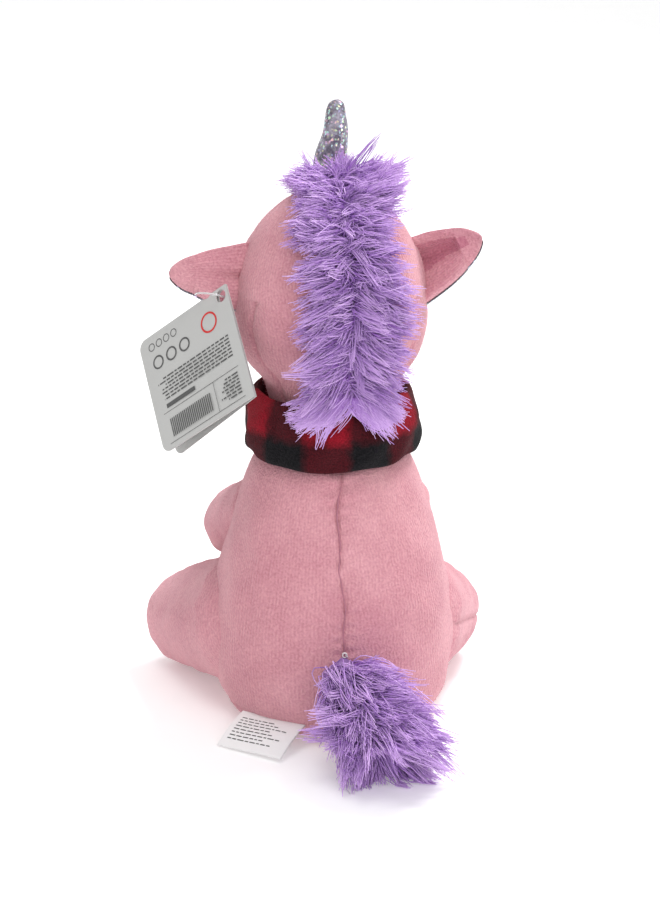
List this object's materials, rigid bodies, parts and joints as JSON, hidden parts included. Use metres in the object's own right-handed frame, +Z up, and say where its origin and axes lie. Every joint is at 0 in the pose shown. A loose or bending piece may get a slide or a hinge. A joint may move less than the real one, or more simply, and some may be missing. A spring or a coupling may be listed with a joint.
{
  "type": "seated plush unicorn",
  "caption": "Seated plush unicorn with a long-pile mane and tail, glitter horn, plaid scarf, hang tag and care label.",
  "frame": {"origin": "centre of the flat seat, on the ground", "axes": "+Z up, -Y the way the toy faces, +X towards the toy's own left side"},
  "size_m": [0.1428, 0.1742, 0.246],
  "materials": {
    "pink_plush": "matte",
    "pale_pink_plush": "matte",
    "purple_pile": "satin",
    "glitter_fabric": "glitter",
    "plaid_fleece": "matte",
    "backing_tape": "matte",
    "filling": "matte",
    "bag_cloth": "matte",
    "thread": "matte",
    "dark_thread": "satin",
    "satin_tape": "satin",
    "card": "satin",
    "eye_plastic": "glossy",
    "washer_plastic": "matte",
    "nylon": "glossy"
  },
  "bodies": {
    "torso": {"seat_panel": "pink_plush", "belly_panel": "pink_plush", "back_panel_left": "pink_plush", "back_panel_right": "pink_plush", "pellet_bag": "bag_cloth", "torso_stuffing": "filling", "back_seam_thread": "thread", "scarf_band": "plaid_fleece", "scarf_knot": "plaid_fleece"},
    "neck": {"neck_stuffing": "filling"},
    "head": {"head_panel_left": "pink_plush", "head_panel_right": "pink_plush", "muzzle_cover": "pale_pink_plush", "head_stuffing": "filling", "eye_left": "eye_plastic", "eye_right": "eye_plastic", "eye_washer_left": "washer_plastic", "eye_washer_right": "washer_plastic", "nostril_left": "dark_thread", "nostril_right": "dark_thread", "mouth_stitch": "dark_thread", "mane_tape": "backing_tape", "mane_pile": "purple_pile"},
    "horn": {"horn_cover": "glitter_fabric", "horn_stuffing": "filling"},
    "ear_left": {"ear_left_back": "pink_plush", "ear_left_lining": "glitter_fabric", "tag_loop": "nylon"},
    "ear_right": {"ear_right_back": "pink_plush", "ear_right_lining": "glitter_fabric"},
    "tag_back": {"tag_back_leaf": "card"},
    "tag_front": {"tag_front_leaf": "card"},
    "tail": {"tail_tape": "backing_tape", "tail_pile": "purple_pile"},
    "scarf_end_left": {"scarf_end_left": "plaid_fleece"},
    "scarf_end_right": {"scarf_end_right": "plaid_fleece"},
    "label": {"care_label": "satin_tape"},
    "foreleg_left": {"foreleg_left_cover": "pink_plush", "foreleg_left_sole": "glitter_fabric", "foreleg_left_stuffing": "filling"},
    "foreleg_right": {"foreleg_right_cover": "pink_plush", "foreleg_right_sole": "glitter_fabric", "foreleg_right_stuffing": "filling"},
    "hind_leg_left": {"hind_leg_left_cover": "pink_plush", "hind_leg_left_sole": "glitter_fabric", "hind_leg_left_stuffing": "filling"},
    "hind_leg_right": {"hind_leg_right_cover": "pink_plush", "hind_leg_right_sole": "glitter_fabric", "hind_leg_right_stuffing": "filling"}
  },
  "joints": [
    {"name": "head_turn", "type": "hinge", "parent": "torso", "child": "neck", "pos_m": [0, 0, 0.118], "axis": [0, 0, 1], "range_deg": [-20, 20], "stiffness_Nm_per_rad": 0.9},
    {"name": "head_nod", "type": "hinge", "parent": "neck", "child": "head", "pos_m": [0, 0, 0.138], "axis": [1, 0, 0], "range_deg": [-12, 8], "stiffness_Nm_per_rad": 1.6},
    {"name": "horn_flex", "type": "hinge", "parent": "head", "child": "horn", "pos_m": [0, -0.024, 0.203], "axis": [1, 0, 0], "range_deg": [-10, 10], "stiffness_Nm_per_rad": 0.15},
    {"name": "ear_left_flop", "type": "hinge", "parent": "head", "child": "ear_left", "pos_m": [0.0338, -0.0015, 0.182], "axis": [-0.2095, 0, 0.9778], "range_deg": [-20, 6], "stiffness_Nm_per_rad": 0.05},
    {"name": "ear_right_flop", "type": "hinge", "parent": "head", "child": "ear_right", "pos_m": [-0.0338, -0.0015, 0.182], "axis": [-0.2095, 0, -0.9778], "range_deg": [-20, 18], "stiffness_Nm_per_rad": 0.04},
    {"name": "tag_swing", "type": "hinge", "parent": "ear_left", "child": "tag_back", "pos_m": [0.04383, 0.00956, 0.17674], "axis": [0.6392, -0.769, 0], "range_deg": [-3, 12], "stiffness_Nm_per_rad": 0.012},
    {"name": "tag_open", "type": "hinge", "parent": "tag_back", "child": "tag_front", "pos_m": [0.0421, 0.0087, 0.1813], "axis": [0.1844, -0.6793, 0.7103], "range_deg": [-2, 9], "stiffness_Nm_per_rad": 0.004},
    {"name": "foreleg_left_raise", "type": "hinge", "parent": "torso", "child": "foreleg_left", "pos_m": [0.027, -0.014, 0.08], "axis": [-1, 0, 0], "range_deg": [-2, 35], "stiffness_Nm_per_rad": 0.25},
    {"name": "foreleg_right_raise", "type": "hinge", "parent": "torso", "child": "foreleg_right", "pos_m": [-0.027, -0.014, 0.08], "axis": [-1, 0, 0], "range_deg": [-2, 35], "stiffness_Nm_per_rad": 0.25},
    {"name": "hind_leg_left_splay", "type": "hinge", "parent": "torso", "child": "hind_leg_left", "pos_m": [0.032, -0.008, 0.035], "axis": [0, 0, 1], "range_deg": [-6, 15], "stiffness_Nm_per_rad": 0.4},
    {"name": "hind_leg_right_splay", "type": "hinge", "parent": "torso", "child": "hind_leg_right", "pos_m": [-0.03, -0.008, 0.034], "axis": [0, 0, -1], "range_deg": [-6, 15], "stiffness_Nm_per_rad": 0.4},
    {"name": "tail_wag", "type": "hinge", "parent": "torso", "child": "tail", "pos_m": [0, 0.0474, 0.034], "axis": [0, 0, 1], "range_deg": [-25, 25], "stiffness_Nm_per_rad": 0.08},
    {"name": "scarf_end_left_swing", "type": "hinge", "parent": "torso", "child": "scarf_end_left", "pos_m": [0.0076, -0.041, 0.1103], "axis": [-1, 0, 0], "range_deg": [-3, 24], "stiffness_Nm_per_rad": 0.01},
    {"name": "scarf_end_right_swing", "type": "hinge", "parent": "torso", "child": "scarf_end_right", "pos_m": [-0.0076, -0.041, 0.1103], "axis": [-1, 0, 0], "range_deg": [-3, 24], "stiffness_Nm_per_rad": 0.01},
    {"name": "label_lift", "type": "hinge", "parent": "torso", "child": "label", "pos_m": [0.02708, 0.03594, 0.0085], "axis": [0.7986, -0.6018, 0], "range_deg": [-2, 30], "stiffness_Nm_per_rad": 0.004}
  ]
}
